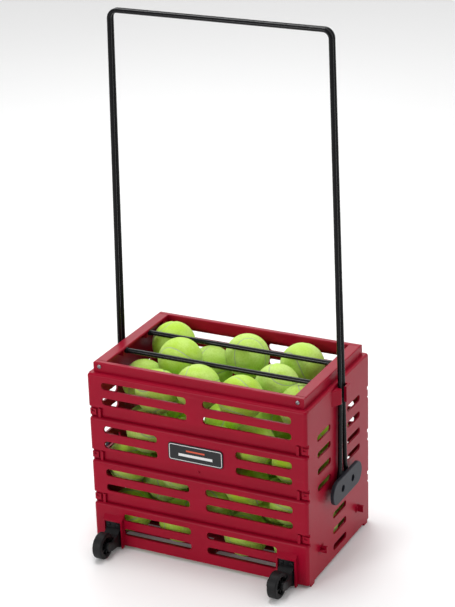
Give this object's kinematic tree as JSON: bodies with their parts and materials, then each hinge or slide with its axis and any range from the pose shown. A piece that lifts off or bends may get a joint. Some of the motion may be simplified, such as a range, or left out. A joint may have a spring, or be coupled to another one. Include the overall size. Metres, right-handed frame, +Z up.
{
  "type": "tennis ball hopper",
  "caption": "Wheeled slotted plastic basket of tennis balls, with roller bars across its open top and wire bails that stand as a handle or swing down as legs.",
  "frame": {"origin": "on the floor under the middle of the basket, between the four corner feet", "axes": "+X right, +Y rear (away from the wheels), +Z up"},
  "size_m": [0.3772, 0.2818, 0.7938],
  "materials": {
    "shell_plastic": "satin crimson injection-moulded plastic",
    "black_plastic": "satin black plastic",
    "tyre_rubber": "matte black rubber",
    "bracket_plastic": "satin slate-black nylon",
    "bail_wire": "gloss black powder-coated steel wire",
    "zinc_screws": "polished zinc plate",
    "steel_pins": "plain steel",
    "label": null,
    "ball_felt": "yellow-green felt"
  },
  "bodies": {
    "basket": {"balls_bottom": "ball_felt", "balls_lower": "ball_felt", "balls_top": "ball_felt", "balls_upper": "ball_felt", "corner_feet": "shell_plastic", "floor_panel": "shell_plastic", "foot_screws": "zinc_screws", "front_bar_bushes": "black_plastic", "front_panel": "shell_plastic", "front_top_rail": "shell_plastic", "label_plate": "label", "left_axle": "steel_pins", "left_bar_retainer": "shell_plastic", "left_bracket_screws": "zinc_screws", "left_fork_screws": "zinc_screws", "left_lock_pegs": "shell_plastic", "left_pivot_bracket": "bracket_plastic", "left_pivot_pins": "steel_pins", "left_side_panel": "shell_plastic", "left_top_rail": "shell_plastic", "left_wheel_fork": "black_plastic", "left_wire_clip": "shell_plastic", "rear_bar_bushes": "black_plastic", "rear_panel": "shell_plastic", "rear_top_rail": "shell_plastic", "right_axle": "steel_pins", "right_bar_retainer": "shell_plastic", "right_bracket_screws": "zinc_screws", "right_fork_screws": "zinc_screws", "right_lock_pegs": "shell_plastic", "right_pivot_bracket": "bracket_plastic", "right_pivot_pins": "steel_pins", "right_side_panel": "shell_plastic", "right_top_rail": "shell_plastic", "right_wheel_fork": "black_plastic", "right_wire_clip": "shell_plastic", "rim_screws": "zinc_screws"},
    "front_bail": {"front_bail": "bail_wire"},
    "rear_bail": {"rear_bail": "bail_wire"},
    "front_bar": {"front_bar": "black_plastic"},
    "rear_bar": {"rear_bar": "black_plastic"},
    "left_wheel": {"left_tyre": "tyre_rubber", "left_wheel_hub": "black_plastic"},
    "right_wheel": {"right_tyre": "tyre_rubber", "right_wheel_hub": "black_plastic"}
  },
  "joints": [
    {"name": "front_bail_swing", "type": "hinge", "parent": "basket", "child": "front_bail", "pos_m": [0, -0.018, 0.12], "axis": [1, 0, 0], "range_deg": [0, 161]},
    {"name": "rear_bail_swing", "type": "hinge", "parent": "basket", "child": "rear_bail", "pos_m": [0, 0.018, 0.12], "axis": [-1, 0, 0], "range_deg": [0, 161]},
    {"name": "left_wheel_spin", "type": "hinge", "parent": "basket", "child": "left_wheel", "pos_m": [-0.142, -0.1495, 0.02], "axis": [1, 0, 0], "continuous": true},
    {"name": "right_wheel_spin", "type": "hinge", "parent": "basket", "child": "right_wheel", "pos_m": [0.142, -0.1495, 0.02], "axis": [1, 0, 0], "continuous": true},
    {"name": "front_bar_roll", "type": "hinge", "parent": "basket", "child": "front_bar", "pos_m": [0, -0.036, 0.2882], "axis": [1, 0, 0], "continuous": true},
    {"name": "rear_bar_roll", "type": "hinge", "parent": "basket", "child": "rear_bar", "pos_m": [0, 0.036, 0.2882], "axis": [1, 0, 0], "continuous": true}
  ]
}
